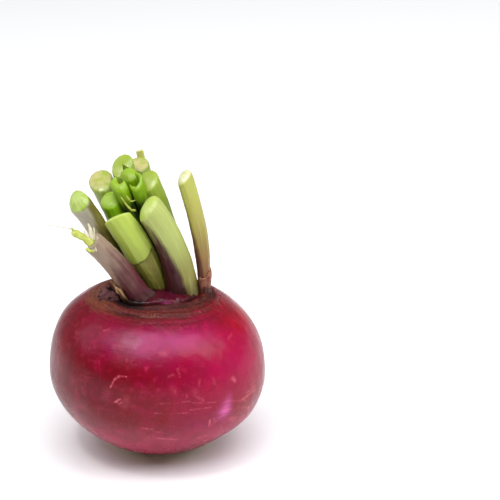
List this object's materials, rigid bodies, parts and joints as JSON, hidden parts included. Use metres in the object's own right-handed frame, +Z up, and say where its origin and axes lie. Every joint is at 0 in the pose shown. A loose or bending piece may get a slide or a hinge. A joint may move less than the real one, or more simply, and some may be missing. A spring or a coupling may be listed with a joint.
{
  "type": "turnip",
  "caption": "Round red turnip root with its leaf stalks trimmed short above the crown, standing on its cut root scar.",
  "frame": {"origin": "centre of the flat root scar that the turnip stands on", "axes": "+Z up through the root towards the cut stalks; +X to the side that the root's axis leans to by 4 degrees, the stalks lean the other way; the torn stalk is at the front, -Y"},
  "size_m": [0.0849, 0.085, 0.1141],
  "materials": {
    "root_skin": "satin",
    "green_stalk": "satin",
    "mauve_stalk": "satin",
    "young_leaf": "satin",
    "dried_leaf": "matte"
  },
  "bodies": {
    "root": {"root": "root_skin", "stalk_far_left": "green_stalk", "stalk_torn": "mauve_stalk", "stalk_front_left": "green_stalk", "stalk_mid_left": "green_stalk", "stalk_front_right": "green_stalk", "stalk_mid_right": "green_stalk", "stalk_far_right": "green_stalk", "stalk_back_left": "green_stalk", "stalk_back_middle": "green_stalk", "stalk_back_right": "green_stalk", "stalk_thin": "green_stalk", "heart_stalk": "young_leaf", "heart_leaf_left": "young_leaf", "heart_leaf_right": "young_leaf", "papery_scale": "dried_leaf", "old_leaf_base": "dried_leaf"}
  },
  "joints": []
}
